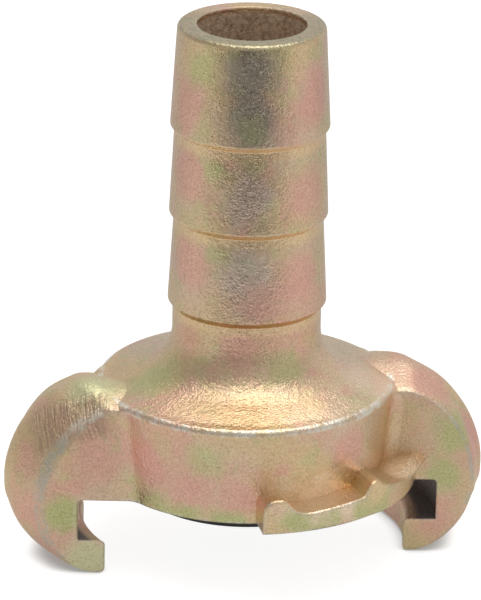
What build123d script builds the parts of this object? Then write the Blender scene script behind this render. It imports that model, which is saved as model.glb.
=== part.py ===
from build123d import *
import os
from math import cos, sin, tan, radians

# Claw coupling for a hose: one solid metal body with two hooked claws and two
# stepped ramp flanges, and a rubber seal ring pushed into its face.
# Millimetres. The hose axis is Z, the claws lie along X and the coupling
# stands on its claw tips at Z = 0 with the hose tail upwards.

os.makedirs("parts", exist_ok=True)
UPWARD = (Align.CENTER, Align.CENTER, Align.MIN)

# ---- hose tail --------------------------------------------------------------
BORE_R = 7.0            # water way
TOP_Z = 71.0            # open end of the tail
RIM_R = 9.45            # outside radius of the open end
BARBS = (               # lower lip height, lip radius, neck radius just below
    (57.8, 10.20, 9.68),
    (46.1, 10.20, 9.62),
    (34.2, 10.22, 9.58),
)
BARB_STEP = 0.75        # height of the step under a lip
LIP_ROUND = 0.35        # round on each lip
NECK_ROUND = 0.3        # fillet under each lip
RIM_ROUND = 0.6

# ---- head -------------------------------------------------------------------
HEAD_TOP_R = 19.1       # edge between shoulder and wall
HEAD_TOP_Z = 23.0
HEAD_FACE_R = 17.9      # the wall draws in towards the face
FACE_Z = 10.1           # face of the head, also the roof of the claw slots
SHOULDER_SLOPE = 17.0   # degrees below horizontal
FLARE_R = 6.0           # hollow fillet between neck and shoulder
EDGE_ROUND = 0.7
WEB_ROUND = 2.5         # upright hollow fillets between the wall and the claws
WEB_REACH = 21.4        # the head's strips under the claws end at this radius
WEB_EDGE_Z = 21.2       # and have dropped to this height there
WEB_SINK = 0.02         # and stay this far inside the sides of the claws
CHAMBER_R = 9.8         # chamber behind the seal
CHAMBER_Z = 17.6
THROAT_Z = 22.6         # where the chamber has narrowed to the bore

# ---- seal and its seat --------------------------------------------------------
SEAL_FACE_Z = 7.7       # the rubber stands proud of the face
SEAL_R = 14.05
SEAL_BEAD_R = 15.1      # retaining bead in the undercut groove
SEAL_BEAD_Z = (11.4, 14.2)
SEAL_ROUND = 0.8

# ---- claws --------------------------------------------------------------------
# Each row is one hook section: its y, the top point of the hump (x, z), how far
# out the hook reaches, the x where its foot meets the ground, and how full the
# upper and lower curves are (2 is an oval, less is straighter).
CLAW_SECTIONS = (
    (-2.25, 20.3, 22.5, 30.0, 21.6, 1.90, 1.90),
    (2.60, 19.8, 23.9, 30.8, 21.3, 1.85, 1.92),
    (7.20, 18.6, 24.1, 29.8, 20.4, 1.75, 2.15),
    (11.30, 16.4, 22.7, 25.9, 18.6, 1.50, 2.30),
)
CLAW_WIDEST_Z = 10.5
CLAW_IN_X = 6.0         # inner end, buried in the head
CLAW_TOP_DIP = 1.5      # how far the top falls towards the hose axis
LIP_R = 21.0            # inner radius of the hook lips: 42 mm between the lips
LIP_TOP_Z = 4.5
SLOT_CENTRE_X = 7.4     # the back wall of a slot is a cylinder about this line
SLOT_R = 17.84
CLAW_ROUND = 0.9        # worn round on the claw edges
LIP_ROUND_R = 0.55      # round on the upper inner edge of a lip
FOOT_ROUND = 0.9        # and on its lower inner edge
SLOT_ROUND = 0.5        # fillet round the roof of a slot

# ---- ramp flanges ---------------------------------------------------------------
RAMP_R = 22.4
RAMP_ROOT_R = 15.5      # inner end, buried in the wall
KNOB_AIM = 12.5         # degrees round from the front
RAMP_AIM = 22.0
KNOB_Z = 15.0
VALLEY_Z = 12.9
PEAK_Z = 15.0
RAMP_UNDER_Z = 10.4     # the underside stands a little above the face
RAMP_ROUND = 0.35       # round on the outer edges
HORN_SECTIONS = (       # y, then (x, z) up the outer side, out to the tip and over the top
    (-1.5, ((22.0, 11.0), (24.2, 13.55), (22.3, 14.2), (18.5, 13.3))),
    (-6.3, ((21.3, 11.0), (21.7, 12.4), (20.4, 13.1), (17.0, 13.1))),
    (-11.5, ((18.3, 11.0), (18.7, 12.8), (17.9, 13.0), (15.0, 12.95))),
)


def outline(points):
    """Closed flat outline in X and Z."""
    with BuildSketch(Plane.XZ) as flat:
        with BuildLine():
            Polyline(*points, close=True)
        make_face()
    return flat.sketch


def round_corners(flat, rounds):
    """Round the outline corners nearest to each (x, z, radius)."""
    for x, z, radius in rounds:
        corner = flat.vertices().sort_by_distance(Vector(x, 0, z))[0]
        flat = fillet(corner, radius)
    return flat


def turned_outside():
    """Tail, neck flare and sloping shoulder, turned about the hose axis."""
    slope = tan(radians(SHOULDER_SLOPE))
    neck_r = BARBS[-1][2]
    shoulder_z = HEAD_TOP_Z + (HEAD_TOP_R - neck_r) * slope
    points = [(0, TOP_Z), (RIM_R, TOP_Z)]
    rounds = [(RIM_R, TOP_Z, RIM_ROUND)]
    for lip_z, lip_r, neck in BARBS:
        points += [(lip_r, lip_z), (neck, lip_z - BARB_STEP)]
        rounds += [(lip_r, lip_z, LIP_ROUND), (neck, lip_z - BARB_STEP, NECK_ROUND)]
    points += [(neck_r, shoulder_z), (HEAD_TOP_R, HEAD_TOP_Z), (WEB_REACH, WEB_EDGE_Z)]
    points += [(WEB_REACH, FACE_Z), (0, FACE_Z)]
    rounds += [(neck_r, shoulder_z, FLARE_R)]
    return revolve(round_corners(outline(points), rounds), Axis.Z)


def head_plan(head_r):
    """Head circle and the strips under both claws from above, with hollow corners."""
    low, high = CLAW_SECTIONS[0][0] + WEB_SINK, CLAW_SECTIONS[-1][0] - WEB_SINK
    length = WEB_REACH + 3
    with BuildSketch() as flat:
        Circle(head_r)
        with PolarLocations(0, 2):
            with Locations((length / 2, (low + high) / 2)):
                Rectangle(length, high - low)
    return fillet([v for v in flat.vertices() if abs(v.X) < length - 1], WEB_ROUND)


def on_head_edge(edge):
    """True for the edges between the shoulder and the upright walls."""
    spots = [edge @ share for share in (0, 0.5, 1)]
    reach = [(spot.X ** 2 + spot.Y ** 2) ** 0.5 for spot in spots]
    level = HEAD_TOP_Z - 2 < min(spot.Z for spot in spots) < HEAD_TOP_Z + 0.1
    return level and min(reach) > HEAD_TOP_R - 0.5 and sum(reach) < 3 * WEB_REACH - 0.1


def head_and_tail():
    """The turned outside, cut to the walls of the head, with its top edge rounded."""
    draft = (HEAD_TOP_R - HEAD_FACE_R) / (HEAD_TOP_Z - FACE_Z)
    top_z = HEAD_TOP_Z + 1
    plans = [Pos(0, 0, z) * head_plan(HEAD_FACE_R + draft * (z - FACE_Z)) for z in (FACE_Z, top_z)]
    core = Pos(0, 0, FACE_Z + 1) * Cylinder(HEAD_FACE_R - 1, TOP_Z, align=UPWARD)
    solid = turned_outside() & (loft(plans) + core)
    return fillet(solid.edges().filter_by(on_head_edge), EDGE_ROUND)


def hollows():
    """Bore, throat, chamber and the stepped seat of the seal, as one cutter."""
    low, high = SEAL_BEAD_Z
    points = [
        (0, FACE_Z - 1), (SEAL_R, FACE_Z - 1), (SEAL_R, low), (SEAL_BEAD_R, low), (SEAL_BEAD_R, high),
        (CHAMBER_R, high), (CHAMBER_R, CHAMBER_Z), (BORE_R, THROAT_Z), (BORE_R, TOP_Z + 1), (0, TOP_Z + 1),
    ]
    return revolve(round_corners(outline(points), [(BORE_R, THROAT_Z, 4.0)]), Axis.Z)


def quarter_curve(centre, reach, rise, fullness, steps=6):
    """Points of a super-oval quarter, from straight out to straight up (or down)."""
    points = []
    for step in range(steps + 1):
        angle = radians(90 * step / steps)
        points.append((
            centre[0] + reach * cos(angle) ** (2 / fullness),
            centre[1] + rise * sin(angle) ** (2 / fullness),
        ))
    return points


def claw_section(y, top_x, top_z, out_x, foot_x, top_full, foot_full, inset=0.0):
    """Hook section in the plane at this y: a full curve outside, straight inside.

    The inset draws the curve in, mostly where the hook reaches outwards.
    """
    reach, rise = out_x - inset, top_z - CLAW_WIDEST_Z - inset * 0.3
    upper = quarter_curve((top_x, CLAW_WIDEST_Z), reach - top_x, rise, top_full)
    lower = quarter_curve((foot_x, CLAW_WIDEST_Z), reach - foot_x, inset * 0.25 - CLAW_WIDEST_Z, foot_full)
    with BuildSketch(Plane.XZ.offset(-y)) as flat:
        with BuildLine():
            Spline(*upper, tangents=((0, 1), (-1, 0)))
            Polyline(upper[-1], (CLAW_IN_X, upper[-1][1] - CLAW_TOP_DIP), (CLAW_IN_X, lower[-1][1]), lower[-1])
            Spline(*reversed(lower), tangents=((1, 0), (0, 1)))
        make_face()
    return flat.sketch


def between(low, high, share):
    return tuple(a + (b - a) * share for a, b in zip(low, high))


def claw_sections():
    """All hook sections, with the two sides drawn in so that their edges are round."""
    near, far = CLAW_SECTIONS[0], CLAW_SECTIONS[-1]
    into = CLAW_ROUND / (CLAW_SECTIONS[1][0] - near[0])
    back = CLAW_ROUND / (far[0] - CLAW_SECTIONS[-2][0])
    rows = [(near, CLAW_ROUND * 0.8), (between(near, CLAW_SECTIONS[1], into * 0.35), CLAW_ROUND * 0.2),
            (between(near, CLAW_SECTIONS[1], into), 0.0)]
    rows += [(row, 0.0) for row in CLAW_SECTIONS[1:-1]]
    rows += [(between(far, CLAW_SECTIONS[-2], back), 0.0),
             (between(far, CLAW_SECTIONS[-2], back * 0.35), CLAW_ROUND * 0.2), (far, CLAW_ROUND * 0.8)]
    return [claw_section(*row, inset=inset) for row, inset in rows]


def well_cutter():
    """The round space between the claws, flared so that the lips get rounded edges."""
    wide, foot_z = LIP_R + 1, -0.05
    flat = outline([
        (0, -2), (wide, -2), (wide, foot_z), (LIP_R, foot_z), (LIP_R, LIP_TOP_Z),
        (wide, LIP_TOP_Z), (wide, FACE_Z), (0, FACE_Z),
    ])
    rounds = [(LIP_R, foot_z, FOOT_ROUND), (LIP_R, LIP_TOP_Z, LIP_ROUND_R)]
    return revolve(round_corners(flat, rounds), Axis.Z)


def claw():
    """The claw on the +X side with its slot and lip."""
    above_ground = Box(80, 80, 40, align=UPWARD)
    lump = loft(claw_sections()) & above_ground
    slot = Cylinder(SLOT_R, FACE_Z - LIP_TOP_Z, align=UPWARD)
    slot = fillet(slot.edges().group_by(Axis.Z)[-1], SLOT_ROUND)
    return lump - well_cutter() - Pos(SLOT_CENTRE_X, 0, LIP_TOP_Z) * slot


def side_bar(lines, aim):
    """A long bar with this side view, pointing outwards at an angle from the front."""
    with BuildSketch(Plane.XZ) as flat:
        with BuildLine():
            lines()
        make_face()
    return Rot(0, 0, aim) * extrude(flat.sketch, 30, dir=(0, -1, 0))


def knob_lines():
    left, right, low = -2.25, 3.6, RAMP_UNDER_Z
    Polyline((left, KNOB_Z - 2), (left, low), (right, low), (right, VALLEY_Z))
    Spline((left, KNOB_Z - 2), (0, KNOB_Z), (right, VALLEY_Z), tangents=((0, 1), (1, 0), (1, -0.1)))


def step_lines():
    Spline((10.8, PEAK_Z - 0.25), (12.6, 13.6), (14.5, 12.95), (17.6, 12.3), (22.0, 12.0))
    Polyline(
        (22.0, 12.0), (22.0, FACE_Z), (13.0, FACE_Z), (9.0, RAMP_UNDER_Z),
        (-3.0, RAMP_UNDER_Z), (-3.0, VALLEY_Z), (0.0, VALLEY_Z), (8.3, VALLEY_Z + 0.35),
        (9.6, PEAK_Z - 0.25), (10.4, PEAK_Z), (10.8, PEAK_Z - 0.25),
    )


def horn():
    """The end of a ramp: its top turns into a leaf that climbs to the near side of the claw."""
    sections = []
    for y, points in HORN_SECTIONS:
        low = [(points[-1][0], FACE_Z), (points[0][0] - 0.1, FACE_Z)]
        with BuildSketch(Plane.XZ.offset(-y)) as flat:
            with BuildLine():
                Polyline(*low, *points, close=True)
            make_face()
        sections.append(flat.sketch)
    return loft(sections)


def on_ramp_rim(edge):
    """True for the edges that bound the outer face of a ramp flange."""
    spots = [edge @ share for share in (0.05, 0.5, 0.95)]
    return all(abs((spot.X ** 2 + spot.Y ** 2) ** 0.5 - RAMP_R) < 0.01 for spot in spots)


def ramp():
    """The stepped flange on the front of the head, running up to the +X claw."""
    bars = side_bar(knob_lines, KNOB_AIM) + side_bar(step_lines, RAMP_AIM)
    ring = Cylinder(RAMP_R, 10, align=UPWARD) - Cylinder(RAMP_ROOT_R, 10, align=UPWARD)
    flange = bars & (Pos(0, 0, FACE_Z - 1) * ring)
    return fillet(flange.edges().filter_by(on_ramp_rim), RAMP_ROUND) + horn()


def body():
    one_side = [claw(), ramp()]
    whole = head_and_tail()
    for turn in (0, 180):
        for piece in one_side:
            whole = whole + Rot(0, 0, turn) * piece
    return whole - hollows()


def seal_ring():
    low, high = SEAL_BEAD_Z
    points = [
        (CHAMBER_R, SEAL_FACE_Z), (SEAL_R, SEAL_FACE_Z), (SEAL_R, low), (SEAL_BEAD_R, low),
        (SEAL_BEAD_R, high), (CHAMBER_R, high),
    ]
    rounds = [(SEAL_R, SEAL_FACE_Z, SEAL_ROUND), (CHAMBER_R, SEAL_FACE_Z, SEAL_ROUND)]
    return revolve(round_corners(outline(points), rounds), Axis.Z)


export_step(body(), "parts/coupling_body.step")
export_step(seal_ring(), "parts/seal_ring.step")
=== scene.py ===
"""Looks of the quarter-turn hose coupling: yellow-passivated metal body and black rubber seal."""
import math

import bpy
from mathutils import Matrix, Vector


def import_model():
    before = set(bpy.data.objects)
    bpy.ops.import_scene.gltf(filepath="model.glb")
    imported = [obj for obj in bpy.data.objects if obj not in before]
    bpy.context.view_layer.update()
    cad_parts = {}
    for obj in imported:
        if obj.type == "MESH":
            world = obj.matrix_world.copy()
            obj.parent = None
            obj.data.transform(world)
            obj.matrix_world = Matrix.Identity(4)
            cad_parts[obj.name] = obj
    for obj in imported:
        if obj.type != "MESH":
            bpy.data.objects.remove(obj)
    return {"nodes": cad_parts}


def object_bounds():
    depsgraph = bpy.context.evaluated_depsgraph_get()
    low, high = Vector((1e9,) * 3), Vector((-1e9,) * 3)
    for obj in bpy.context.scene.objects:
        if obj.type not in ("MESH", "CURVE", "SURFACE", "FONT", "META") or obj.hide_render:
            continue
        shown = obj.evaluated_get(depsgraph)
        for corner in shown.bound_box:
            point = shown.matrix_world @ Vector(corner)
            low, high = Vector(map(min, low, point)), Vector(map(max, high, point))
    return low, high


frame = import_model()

cad_low, cad_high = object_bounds()
MM = 0.001


# ---- small helpers for building node trees ----

class Nodes:
    """Adds nodes to one node tree and links them with short calls."""

    def __init__(self, tree):
        self.tree = tree
        tree.nodes.clear()

    def add(self, kind, inputs=None, **settings):
        node = self.tree.nodes.new(kind)
        for name, value in settings.items():
            setattr(node, name, value)
        for key, value in (inputs or {}).items():
            if hasattr(value, "is_output"):
                self.tree.links.new(value, node.inputs[key])
            else:
                node.inputs[key].default_value = value
        return node

    def math(self, operation, a, b=0.0):
        return self.add("ShaderNodeMath", {0: a, 1: b}, operation=operation).outputs[0]

    def times(self, *factors):
        """The product of all the factors."""
        product = factors[0]
        for factor in factors[1:]:
            product = self.math("MULTIPLY", product, factor)
        return product

    def vector(self, operation, a, b=(0, 0, 0), output=0):
        return self.add("ShaderNodeVectorMath", {0: a, 1: b}, operation=operation).outputs[output]

    def scaled(self, vector, scale):
        return self.add("ShaderNodeVectorMath", {0: vector, "Scale": scale}, operation="SCALE").outputs[0]

    def split(self, vector):
        """The x, y and z of a vector."""
        return self.add("ShaderNodeSeparateXYZ", {"Vector": vector}).outputs[:3]

    def noise(self, vector, scale, detail=3.0, roughness=0.5, distortion=0.0, output="Fac"):
        node = self.add("ShaderNodeTexNoise", {
            "Vector": vector, "Scale": scale, "Detail": detail, "Roughness": roughness,
            "Distortion": distortion})
        return node.outputs[output]

    def ramp(self, value, low, high, to_low=0.0, to_high=1.0):
        """Smoothly maps low..high onto to_low..to_high and holds the ends."""
        node = self.add("ShaderNodeMapRange", {
            "Value": value, "From Min": low, "From Max": high, "To Min": to_low, "To Max": to_high},
            interpolation_type="SMOOTHSTEP")
        return node.outputs["Result"]

    def band(self, value, start, full, fading, end):
        """Rises from 0 to 1 over start..full and falls back to 0 over fading..end."""
        return self.times(self.ramp(value, start, full), self.ramp(value, end, fading))

    def mix(self, factor, a, b):
        node = self.add("ShaderNodeMix", data_type="RGBA", blend_type="MIX")
        for key, value in ((0, factor), (6, a), (7, b)):
            if hasattr(value, "is_output"):
                self.tree.links.new(value, node.inputs[key])
            else:
                node.inputs[key].default_value = value
        return node.outputs[2]

    def shift(self, vector, move):
        return self.add("ShaderNodeMapping", {"Vector": vector, "Location": move}).outputs[0]


class Surface:
    """The shaded point and its normal, as the masks below read them."""

    def __init__(self, n):
        self.place = n.add("ShaderNodeTexCoord").outputs["Object"]    # in metres, for the noises
        self.spot = n.scaled(self.place, 1 / MM)                      # in mm, for the masks
        self.x, self.y, self.z = n.split(self.spot)
        self.flat = n.vector("MULTIPLY", self.spot, (1, 1, 0))
        self.reach = n.vector("LENGTH", self.flat, output="Value")    # from the hose axis
        self.normal = n.add("ShaderNodeNewGeometry").outputs["Normal"]
        normal_y, self.upward = n.split(self.normal)[1:]
        self.sideways = n.math("ABSOLUTE", normal_y)


def new_material(name):
    material = bpy.data.materials.new(name)
    material.use_nodes = True
    return material, Nodes(material.node_tree)


def rgb(r, g, b):
    return (r, g, b, 1.0)


# ---- colours ----

WHITE = rgb(1, 1, 1)

TAN = rgb(0.80, 0.60, 0.43)
GOLD = rgb(0.82, 0.62, 0.36)
# painted highlight colour, for glints and glows on the film
HIGHLIGHT_GOLD = rgb(0.92, 0.68, 0.40)
OLIVE = rgb(0.60, 0.62, 0.29)
DULL_OLIVE = rgb(0.44, 0.41, 0.27)
PALE_GREEN = rgb(0.76, 0.76, 0.46)
ROSE = rgb(0.86, 0.48, 0.39)
SALMON = rgb(1.0, 0.80, 0.60)
# painted dark reflection, for the dark band down the front of the tail
REFLECTION_GREY = rgb(0.72, 0.63, 0.54)
DARK_REFLECTION_GREY = rgb(0.50, 0.46, 0.39)

SILVER = rgb(0.90, 0.84, 0.72)
WORN_GREY = rgb(0.55, 0.54, 0.47)
GROUND_BROWN = rgb(0.56, 0.38, 0.27)
GRAIN_DARK = rgb(0.30, 0.19, 0.11)
GRAIN_LIGHT = rgb(1.0, 0.92, 0.78)
BORE_METAL = rgb(0.86, 0.70, 0.53)
BORE_PIT = rgb(0.52, 0.38, 0.27)
# painted shade: near black for the insides of the slots
SLOT_SHADE = rgb(0.17, 0.15, 0.155)

RUBBER = rgb(0.012, 0.012, 0.013)
BLOOM = rgb(0.035, 0.034, 0.033)

# ---- places on the body, in mm, in the frame of the CAD ----

TOP_Z = cad_high[2] / MM              # open end of the hose tail
LIPS = (57.8, 46.1, 34.2)             # heights of the lips of the barbs
BORE_R = 7.0
HEAD_EDGE = (18.8, 23.0)              # reach and height of the rounded edge of the head
FACE_Z = 10.1                         # roof of the slots of the claws
HOOK_R = 21.0                         # inner side of the lips of the claws
HOOK_Z = 4.5                          # and their top
ARRIS_Y = (10.5, 2.4)                 # a claw's side edges lie beyond the first and within the second
ARRIS_TOP_Z = 25.0                    # and their wear and painted highlight end here
GRIND_AT = (-22.6, -9.4, 20.0)        # middle of the ground patch on one claw
GRIND_ALONG = (0.87, -0.27, 0.41)     # runs beside the edge of the claw; the marks lie across it
GRIND_COMB = 14.0                     # how many times more often the marks repeat along it

# ---- how the film and the cast skin are made up ----

# Noises that tint the film: where each is sampled, its scale and distortion, the noise levels at
# which the tint starts and is full, its strength and its colour.
MOTTLES = (
    ((3.1, 1.7, 0.4), 90, 0.7, 0.52, 0.68, 0.40, OLIVE),
    ((0.4, 5.2, 2.6), 80, 0.7, 0.48, 0.64, 0.55, ROSE),
    ((7.7, 0.3, 1.9), 330, 0.5, 0.54, 0.68, 0.45, OLIVE),
    ((2.2, 8.1, 3.4), 330, 0.5, 0.54, 0.68, 0.45, ROSE),
)

# Clouds of interference colour, some of them painted light: centre in mm, radius in mm, strength, colour.
# The bright gold ones are painted highlights, and the grey ones on the front of the barbs are painted
# dark reflection.
CLOUDS = (
    # the three barbs, from the open end down
    # the grey clouds on the front of the barbs are painted dark reflection
    ((0, -11, 67), 5.5, 0.8, DARK_REFLECTION_GREY), ((0.5, -11, 61), 5.0, 0.8, DARK_REFLECTION_GREY),
    ((0, -11, 51), 5.0, 0.6, REFLECTION_GREY), ((0, -11, 41), 5.0, 0.6, REFLECTION_GREY),
    # the bright gold cloud at the back of the rim is a painted highlight
    ((0, 8.6, 71.3), 4.5, 0.9, HIGHLIGHT_GOLD), ((-6.5, -7.5, 67), 3.5, 0.7, OLIVE),
    ((-8, -6.5, 62), 4.5, 0.8, ROSE), ((0.5, -10, 60), 3.0, 0.5, OLIVE),
    ((8, -6, 63), 5.5, 0.9, ROSE), ((-8, -6, 53), 5.0, 0.8, ROSE),
    ((-4.5, -8.8, 54.5), 2.5, 0.6, OLIVE), ((0.5, -10, 55.5), 2.5, 0.5, OLIVE),
    ((7.5, -7, 51), 5.0, 0.8, ROSE), ((-7.5, -7, 41), 5.0, 0.8, ROSE),
    ((-4, -9, 43.5), 2.4, 0.6, OLIVE), ((7, -7.5, 40), 5.0, 0.8, ROSE),
    ((2, -9.8, 37), 4.5, 0.5, ROSE),
    # neck and top of the head
    ((-7.5, -5.5, 30.5), 3.5, 0.6, ROSE), ((5, -8, 27.5), 3.5, 0.6, OLIVE),
    # the bright gold clouds on the top of the head are a painted highlight glow
    ((-1, -9.5, 31), 3.5, 0.6, ROSE), ((0.5, -14.5, 25), 5.0, 0.8, HIGHLIGHT_GOLD),
    ((-6, -13.5, 24.5), 4.5, 0.6, HIGHLIGHT_GOLD), ((7, -13.5, 24.5), 4.5, 0.6, HIGHLIGHT_GOLD),
    ((-12, -6, 25), 5.0, 0.7, OLIVE), ((-20, -7, 24.5), 6.0, 0.9, PALE_GREEN),
    ((17, -3, 25), 6.0, 0.6, SALMON), ((24, 1, 22), 4.5, 0.8, ROSE),
    # left claw
    ((-27, -9, 14), 4.0, 0.65, ROSE), ((-27, -9, 8), 4.5, 0.7, ROSE),
    ((-20, -11.3, 15), 5.0, 0.45, ROSE), ((-23.5, -11.3, 8), 3.8, 1.0, OLIVE),
    ((-20, -11.3, 1.5), 4.5, 0.9, PALE_GREEN),
    # wall of the head
    ((-12.5, -13.5, 16.5), 5.0, 1.0, ROSE), ((-7, -16.5, 14), 4.0, 0.8, ROSE),
    ((-10, -15.5, 9.5), 3.8, 0.9, OLIVE), ((-2, -18.5, 9.5), 4.0, 0.9, OLIVE),
    ((-1, -18.5, 13.5), 4.0, 0.8, ROSE), ((-5, -17.5, 18.5), 3.5, 0.6, OLIVE),
    ((13.5, -12.5, 19), 4.0, 0.8, ROSE), ((9, -20.5, 11.5), 4.5, 0.9, OLIVE),
    ((17, -14, 12), 3.5, 0.9, OLIVE),
    # right claw
    ((26, -2.2, 11), 3.5, 0.8, OLIVE), ((24.5, -2.2, 4.5), 3.5, 0.7, ROSE),
    ((27.5, -2.2, 17), 4.0, 0.8, OLIVE), ((21, -2.2, 18.5), 3.5, 0.6, GOLD),
    ((30, 1, 14), 4.5, 0.9, ROSE),
    # ramp flange
    ((12, -16.5, 13.2), 5.0, 0.9, SALMON), ((20.5, -6, 13.3), 3.5, 0.8, SALMON),
    ((5, -19.5, 13.5), 4.0, 0.9, SALMON), ((9, -18, 13), 4.0, 0.9, SALMON),
    # the bright gold clouds on the flange are painted highlights along its edges
    ((17.5, -14.5, 14.5), 4.0, 0.8, HIGHLIGHT_GOLD), ((4, -21.4, 15.5), 2.5, 0.8, HIGHLIGHT_GOLD),
    ((6.5, -22, 11.5), 3.0, 0.9, OLIVE), ((11, -20.5, 11.2), 3.0, 0.9, OLIVE),
    ((15.5, -17.5, 11.5), 3.0, 0.9, OLIVE),
    # foot of the wall beside the flange
    ((-7.5, -16.5, 9.8), 3.2, 0.9, OLIVE), ((-1.5, -18.3, 9.6), 3.2, 0.9, OLIVE),
    ((3.5, -18, 9.6), 2.8, 0.8, OLIVE),
)
CLOUD_CORE = 0.35                     # share of a cloud's radius that has its full strength
CLOUD_WARP = 5.0                      # how far the edges of the clouds wander, in mm
LIP_HIGHLIGHT = 0.8                        # strength of the painted gold highlight under the lips

# Scales of the other noises, in cells per metre, from the broadest to the finest.
BROAD_TINT = 70
CLOUD_WOBBLE = 160
GRIND_MARKS = 190
WAVES = 220
SHEEN = 260
WORN_AND_LIT_PATCHES = 700
BORE_PITS = 1500
PEEL = 1700
SAND = 3600

# Relief of the cast skin. The heights are shares of the first value.
RELIEF = 0.13 * MM
SAND_HEIGHT, PEEL_HEIGHT = 0.60, 0.65
WAVE_HEIGHT, CLAW_WAVE_HEIGHT = 1.4, 0.5
MARK_DEPTH = 0.8
CONE_LEAN = 0.14                      # added outwards to the unit normal of the head's top

EDGE_SEARCH = 0.6 * MM                # how deep in the metal the search for edges looks
EDGE_ROUND = 0.45 * MM                # radius that the sharp outer edges are shaded with
ARRIS_WEAR_AND_HIGHLIGHT = 0.7
POLISHED, DULL = 0.23, 0.30           # roughness of the tail and the head, from patch to patch
CLAW_DULLNESS = 0.14                  # and what the claws have more
DIRT_AND_SHADE_COVER = 0.65                     # share of the metal that is dulled: the pitted bore, and the slots, where this is painted shade


# ---- masks on the body ----

def painted_slot_shade(n, at):
    """1 deep in the slots of the claws, where shade is painted on as near-black metal."""
    facing_out = n.vector("DOT_PRODUCT", at.normal, at.spot, output="Value")
    walls = n.times(
        n.ramp(facing_out, 0.5, -0.5), n.ramp(at.reach, HOOK_R - 0.4, HOOK_R + 0.3),
        n.ramp(at.z, HOOK_Z - 0.3, HOOK_Z + 0.3))
    floors = n.times(
        n.ramp(at.upward, 0.7, 0.9), n.ramp(at.reach, HOOK_R + 1.0, HOOK_R + 2.0),
        n.ramp(at.z, HOOK_Z + 0.8, HOOK_Z + 0.4))
    under_roof = n.ramp(at.z, FACE_Z + 0.25, FACE_Z - 0.05)
    return n.times(n.math("MAXIMUM", walls, floors), under_roof, n.ramp(at.sideways, 0.95, 0.8))


def on_arris(n, at):
    """1 on the rounded edges between the flat sides of a claw and its outer side."""
    round_part = n.band(at.sideways, 0.50, 0.70, 0.91, 0.97)
    width = n.math("ABSOLUTE", at.y)
    far_side, near_side = ARRIS_Y
    at_sides = n.math(
        "MAXIMUM", n.ramp(width, far_side - 0.6, far_side), n.ramp(width, near_side + 0.6, near_side))
    upper_claw = n.times(n.ramp(at.z, 18, 19), n.ramp(at.reach, 20.8, 21.4))
    on_claw = n.math("MAXIMUM", n.ramp(at.reach, 24.3, 25.0), upper_claw)
    return n.times(round_part, at_sides, on_claw, n.ramp(at.z, ARRIS_TOP_Z, ARRIS_TOP_Z - 0.4))


def painted_head_edge_highlight(n, at):
    """1 on the rounded edge round the top of the head, where a silver line is painted on as a highlight.
    """
    reach, height = HEAD_EDGE
    ring = n.band(at.reach, reach - 0.55, reach - 0.25, reach + 0.2, reach + 0.5)
    return n.times(ring, n.band(at.z, height - 0.8, height - 0.4, height + 0.3, height + 0.5))


def ground_patch(n, at):
    """Returns how far a point is inside the ground patch, and the marks that cross it."""
    away = n.vector("SUBTRACT", at.spot, GRIND_AT)
    along = n.vector("DOT_PRODUCT", away, GRIND_ALONG, output="Value")
    spread = n.scaled(GRIND_ALONG, along)
    across = n.vector("DISTANCE", away, spread, output="Value")
    inside = n.times(n.ramp(n.math("ABSOLUTE", along), 6.6, 4.0), n.ramp(across, 3.6, 1.8))
    combed = n.vector("ADD", at.place, n.scaled(spread, GRIND_COMB * MM))
    return inside, n.ramp(n.noise(combed, GRIND_MARKS, 3, 0.6), 0.40, 0.62)


def in_bore(n, at):
    """1 on the wall of the bore through the tail."""
    return n.times(n.ramp(at.reach, BORE_R + 1.0, BORE_R + 0.7), n.ramp(at.z, TOP_Z - 0.4, TOP_Z - 0.9))


# ---- materials ----

def film_colour(n, at):
    """Tan and gold, mottled with olive and rose, with the clouds, some of them painted light, and a
    painted gold highlight under each lip.
    """
    colour = n.mix(n.ramp(n.noise(at.place, BROAD_TINT, 3, 0.55, 0.5), 0.38, 0.62), TAN, GOLD)
    for move, scale, distortion, start, full, strength, tint in MOTTLES:
        mottle = n.noise(n.shift(at.place, move), scale, 3, 0.6, distortion)
        colour = n.mix(n.ramp(mottle, start, full, 0.0, strength), colour, tint)

    wobble = n.noise(at.place, CLOUD_WOBBLE, 3, 0.6, output="Color")
    wobble = n.scaled(n.vector("SUBTRACT", wobble, (0.5, 0.5, 0.5)), CLOUD_WARP)
    warped = n.vector("ADD", at.spot, wobble)
    for centre, radius, strength, tint in CLOUDS:
        away = n.vector("DISTANCE", warped, centre, output="Value")
        colour = n.mix(n.ramp(away, radius, radius * CLOUD_CORE, 0.0, strength), colour, tint)

    # Painted highlight: a gold glow just under each lip.
    for lip in LIPS:
        below = n.band(at.z, lip - 2.4, lip - 1.3, lip - 0.3, lip + 0.1)
        colour = n.mix(n.times(below, LIP_HIGHLIGHT), colour, HIGHLIGHT_GOLD)
    return colour


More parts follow.
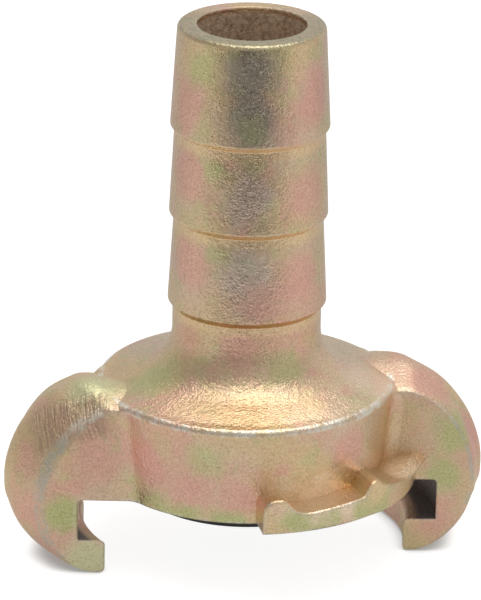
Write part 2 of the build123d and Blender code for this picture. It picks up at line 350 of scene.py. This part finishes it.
def edge_wear_and_highlight(n, at, colour, thin, on_claws):
    """Silver on the edges, partly bare zinc where worn and partly painted highlight: everywhere a little,
    more on the arrises, and a painted highlight line on the head's edge.
    """
    # The edge silver is partly wear and partly painted highlight, stronger on the upper head and on the
    # claws.
    wear_and_highlight = n.math("MAXIMUM", n.ramp(at.z, 15, 19, 0.25, 0.95), n.ramp(on_claws, 1.0, 0.0, 0.0, 0.6))
    worn_and_highlit = n.times(n.ramp(thin, 0.93, 0.72), wear_and_highlight, n.ramp(at.z, 25, 29, 1.0, 0.2))
    patchy = n.ramp(n.noise(at.place, WORN_AND_LIT_PATCHES, 4, 0.65), 0.40, 0.58, 0.15, 0.95)
    colour = n.mix(n.times(worn_and_highlit, patchy), colour, SILVER)
    # On the arrises the colour turns from worn grey to silver with height: wear below, painted highlight
    # higher up.
    bare_and_highlit = n.mix(n.ramp(at.z, 17, 20), WORN_GREY, SILVER)
    colour = n.mix(n.times(on_arris(n, at), patchy, ARRIS_WEAR_AND_HIGHLIGHT), colour, bare_and_highlit)
    return n.mix(n.times(painted_head_edge_highlight(n, at), patchy), colour, SILVER)


def soft_normal(n, at, thin):
    """The normal before the grain, with rounded outer edges and a steeper top of the head."""
    # Sharp outer edges look slightly rounded; inner corners stay as they are.
    bevel = n.add("ShaderNodeBevel", {"Radius": EDGE_ROUND}, samples=6).outputs["Normal"]
    soft = n.mix(n.ramp(thin, 0.99, 0.88), at.normal, bevel)
    # The cast top of the head catches the light as a slightly steeper cone.
    cone = n.times(n.band(at.reach, 11.5, 13.5, 17.3, 18.1), n.ramp(at.z, 21.8, 22.8, 0.0, CONE_LEAN))
    outward = n.scaled(n.vector("NORMALIZE", at.flat), cone)
    return n.vector("NORMALIZE", n.vector("ADD", soft, outward))


def passivated_metal():
    """Zinc plate with a yellow chromate film that shimmers in olive, rose and gold."""
    material, n = new_material("yellow_passivated_zinc")
    at = Surface(n)
    on_claws = n.ramp(n.math("ABSOLUTE", at.x), 14, 18)
    ground, marks = ground_patch(n, at)
    bore = in_bore(n, at)
    slots = painted_slot_shade(n, at)
    pits = n.noise(at.place, BORE_PITS, 4, 0.65)
    sand = n.noise(at.place, SAND, 2, 0.6)
    # Thin places, seen from inside the metal, are its convex edges.
    thin = n.add("ShaderNodeAmbientOcclusion", {"Distance": EDGE_SEARCH},
                 samples=8, inside=True, only_local=True).outputs["AO"]

    colour = film_colour(n, at)
    colour = n.mix(n.times(ground, n.ramp(marks, 0.0, 1.0, 0.45, 0.95)), colour, GROUND_BROWN)
    colour = n.mix(bore, colour, n.mix(n.ramp(pits, 0.38, 0.64), BORE_METAL, BORE_PIT))
    rim = n.times(n.ramp(at.z, TOP_Z - 0.4, TOP_Z - 0.1), n.ramp(at.y, 6, 2))
    colour = n.mix(n.times(rim, n.ramp(pits, 0.35, 0.60, 1.0, 0.55)), colour, DULL_OLIVE)
    # Painted shade: the insides of the slots are painted near black.
    colour = n.mix(slots, colour, SLOT_SHADE)
    colour = n.mix(n.ramp(sand, 0.46, 0.72, 0.0, 0.30), colour, GRAIN_DARK)
    colour = n.mix(n.ramp(sand, 0.46, 0.28, 0.0, 0.25), colour, GRAIN_LIGHT)
    colour = edge_wear_and_highlight(n, at, colour, thin, on_claws)

    peel = n.times(n.noise(at.place, PEEL, 3, 0.6), PEEL_HEIGHT)
    grain = n.math("ADD", n.times(sand, SAND_HEIGHT), peel)
    waves = n.noise(at.place, WAVES, 2, 0.5)
    waves = n.times(waves, n.ramp(on_claws, 0.0, 1.0, WAVE_HEIGHT, CLAW_WAVE_HEIGHT))
    height = n.math("SUBTRACT", n.math("ADD", grain, waves), n.times(ground, marks, MARK_DEPTH))
    bump = n.add("ShaderNodeBump", {
        "Strength": 1.0, "Distance": RELIEF, "Height": height, "Normal": soft_normal(n, at, thin)})
    sheen = n.ramp(n.noise(at.place, SHEEN, 3, 0.6), 0.3, 0.7, POLISHED, DULL)
    shader = n.add("ShaderNodeBsdfPrincipled", {
        "Base Color": colour,
        "Metallic": n.math("SUBTRACT", 1.0, n.times(n.math("MAXIMUM", bore, slots), DIRT_AND_SHADE_COVER)),
        "Roughness": n.math("ADD", sheen, n.times(on_claws, CLAW_DULLNESS)),
        "Normal": bump.outputs[0]})
    n.add("ShaderNodeOutputMaterial", {"Surface": shader.outputs[0]})
    return material


def rubber():
    """Black rubber with a dusty bloom."""
    material, n = new_material("black_rubber")
    place = n.add("ShaderNodeTexCoord").outputs["Object"]
    bloom = n.noise(place, 300, 4, 0.6)
    bump = n.add("ShaderNodeBump", {
        "Strength": 0.3, "Distance": 0.05 * MM, "Height": n.noise(place, 1800, 3, 0.6)})
    shader = n.add("ShaderNodeBsdfPrincipled", {
        "Base Color": n.mix(n.ramp(bloom, 0.4, 0.7), RUBBER, BLOOM),
        "Roughness": n.ramp(bloom, 0.3, 0.7, 0.5, 0.7), "Normal": bump.outputs[0]})
    n.add("ShaderNodeOutputMaterial", {"Surface": shader.outputs[0]})
    return material


def dress(name, material):
    mesh = frame["nodes"][name].data
    mesh.materials.clear()
    mesh.materials.append(material)


# ---- studio ----

LAMP_WAY = (0.05, 0.10, 0.994)        # towards the brightest part of the light tent
LAMP_EDGE, LAMP_CORE = 0.87, 0.97     # cosines of the angle from there
LAMP_GLOW = 2.3
LEFT_GLOW, RIGHT_GLOW = 0.38, 0.56
BACK_GLOW = 0.18                      # added behind the object
ROOM_WHITE = rgb(1, 0.98, 0.96)

# The floor, in metres. Minus Y is towards the camera.
FLOOR_HALF = 3.0                      # from its middle to a side
FLOOR_GAP = 0.02 * MM                 # keeps the floor clear of the claw tips
CONTACT = 3 * MM                      # reach of the painted contact shadow where the claws stand
PAPER_GREY = 0.35                     # the lit part of what the camera sees of it
PAPER_LIFT = (0.25, 0.88)             # its own light, at the contact line and away from it
CARD_AHEAD = (-0.095, -0.165)         # the dull stretch starts at the first and is full at the second
CARD_ASIDE = (0.50, 0.32)             # and fades out to both sides
FLOOR_GREY, CARD_GREY = 0.9, 0.03
NEAR_AHEAD, NEAR_SHADE = (-0.085, -0.055), 0.84    # a little greyer round the object
BEHIND, BEHIND_SHADE = (0.0, 0.08), 0.8            # and greyer again behind it
OWN_LIGHT = 0.38                      # share of the reflected floor's brightness that needs no lamp

# The view of the original, in mm and degrees: downwards along +Y, with a slight roll.
CAMERA_PITCH = 20.82
CAMERA_ROLL = 1.07
CAMERA_AIM = (-0.824, 0, 33.70)
CAMERA_AWAY = 656.5
CAMERA_LENS = 306.1
CAMERA_SENSOR = 36


def world():
    """A light tent: even all round, brighter overhead and behind, and plain white to the camera."""
    scene_world = bpy.data.worlds.new("studio")
    bpy.context.scene.world = scene_world
    scene_world.use_nodes = True
    n = Nodes(scene_world.node_tree)
    toward = n.add("ShaderNodeTexCoord").outputs["Generated"]
    side, back = n.split(toward)[:2]
    lamp = n.vector("DOT_PRODUCT", toward, LAMP_WAY, output="Value")
    overhead = n.ramp(lamp, LAMP_EDGE, LAMP_CORE, 0.0, LAMP_GLOW)
    glow = n.math("ADD", overhead, n.ramp(side, -1.0, 1.0, LEFT_GLOW, RIGHT_GLOW))
    glow = n.math("ADD", glow, n.ramp(back, 0.2, 0.7, 0.0, BACK_GLOW))
    seen = n.add("ShaderNodeLightPath").outputs["Is Camera Ray"]
    white = n.add("ShaderNodeBackground", {"Color": WHITE, "Strength": 1.0})
    room = n.add("ShaderNodeBackground", {"Color": ROOM_WHITE, "Strength": glow})
    mixed = n.add("ShaderNodeMixShader", {0: seen, 1: room.outputs[0], 2: white.outputs[0]})
    n.add("ShaderNodeOutputWorld", {"Surface": mixed.outputs[0]})


def seen_paper(n):
    """White paper with a painted soft contact shadow where the object stands on it: its glow is dimmed
    there.
    """
    contact_shade = n.add("ShaderNodeAmbientOcclusion", {"Distance": CONTACT}, samples=16).outputs["AO"]
    paper = n.add("ShaderNodeBsdfDiffuse", {"Color": rgb(PAPER_GREY, PAPER_GREY, PAPER_GREY)})
    lift = n.add("ShaderNodeEmission", {"Color": WHITE, "Strength": n.ramp(contact_shade, 0.2, 0.8, *PAPER_LIFT)})
    return n.add("ShaderNodeAddShader", {0: paper.outputs[0], 1: lift.outputs[0]})


def reflected_paper(n):
    """The same paper as the metal shows it: bright near the object and dull far in front."""
    aside, ahead = n.split(n.add("ShaderNodeTexCoord").outputs["Object"])[:2]
    card = n.times(n.ramp(ahead, *CARD_AHEAD), n.ramp(n.math("ABSOLUTE", aside), *CARD_ASIDE))
    grey = n.times(
        n.ramp(card, 0.0, 1.0, FLOOR_GREY, CARD_GREY), n.ramp(ahead, *NEAR_AHEAD, 1.0, NEAR_SHADE),
        n.ramp(ahead, *BEHIND, 1.0, BEHIND_SHADE))
    lit = n.add("ShaderNodeBsdfDiffuse", {"Color": n.times(grey, 1 - OWN_LIGHT)})
    glowing = n.add("ShaderNodeEmission", {"Color": WHITE, "Strength": n.times(grey, OWN_LIGHT)})
    return n.add("ShaderNodeAddShader", {0: lit.outputs[0], 1: glowing.outputs[0]})


def floor():
    """One large sheet that the camera sees as white paper and the metal as a graded one."""
    corners = [(x * FLOOR_HALF, y * FLOOR_HALF, 0) for x, y in ((-1, -1), (1, -1), (1, 1), (-1, 1))]
    mesh = bpy.data.meshes.new("floor")
    mesh.from_pydata(corners, [], [(0, 1, 2, 3)])
    plane = bpy.data.objects.new("floor", mesh)
    plane.location.z = -FLOOR_GAP
    bpy.context.scene.collection.objects.link(plane)
    material, n = new_material("white_sweep")
    seen = n.add("ShaderNodeLightPath").outputs["Is Camera Ray"]
    mixed = n.add("ShaderNodeMixShader", {
        0: seen, 1: reflected_paper(n).outputs[0], 2: seen_paper(n).outputs[0]})
    n.add("ShaderNodeOutputMaterial", {"Surface": mixed.outputs[0]})
    mesh.materials.append(material)


def camera():
    """Looks down at the object as the original's camera did."""
    pitch, roll = math.radians(CAMERA_PITCH), math.radians(CAMERA_ROLL)
    back = Vector((0, -math.cos(pitch), math.sin(pitch)))
    right = Vector((1, 0, 0))
    up = back.cross(right)
    x_axis = right * math.cos(roll) + up * math.sin(roll)
    y_axis = up * math.cos(roll) - right * math.sin(roll)
    turn = Matrix((x_axis, y_axis, back)).transposed().to_4x4()
    data = bpy.data.cameras.new("camera")
    data.sensor_width = CAMERA_SENSOR
    data.sensor_fit = "AUTO"
    data.lens = CAMERA_LENS
    data.clip_start = 0.01
    eye = Vector(CAMERA_AIM) * MM + back * CAMERA_AWAY * MM
    shooter = bpy.data.objects.new("camera", data)
    shooter.matrix_world = Matrix.Translation(eye) @ turn
    bpy.context.scene.collection.objects.link(shooter)
    bpy.context.scene.camera = shooter


dress("coupling_body", passivated_metal())
dress("seal_ring", rubber())
world()
floor()
camera()
bpy.context.scene.view_settings.view_transform = "Standard"
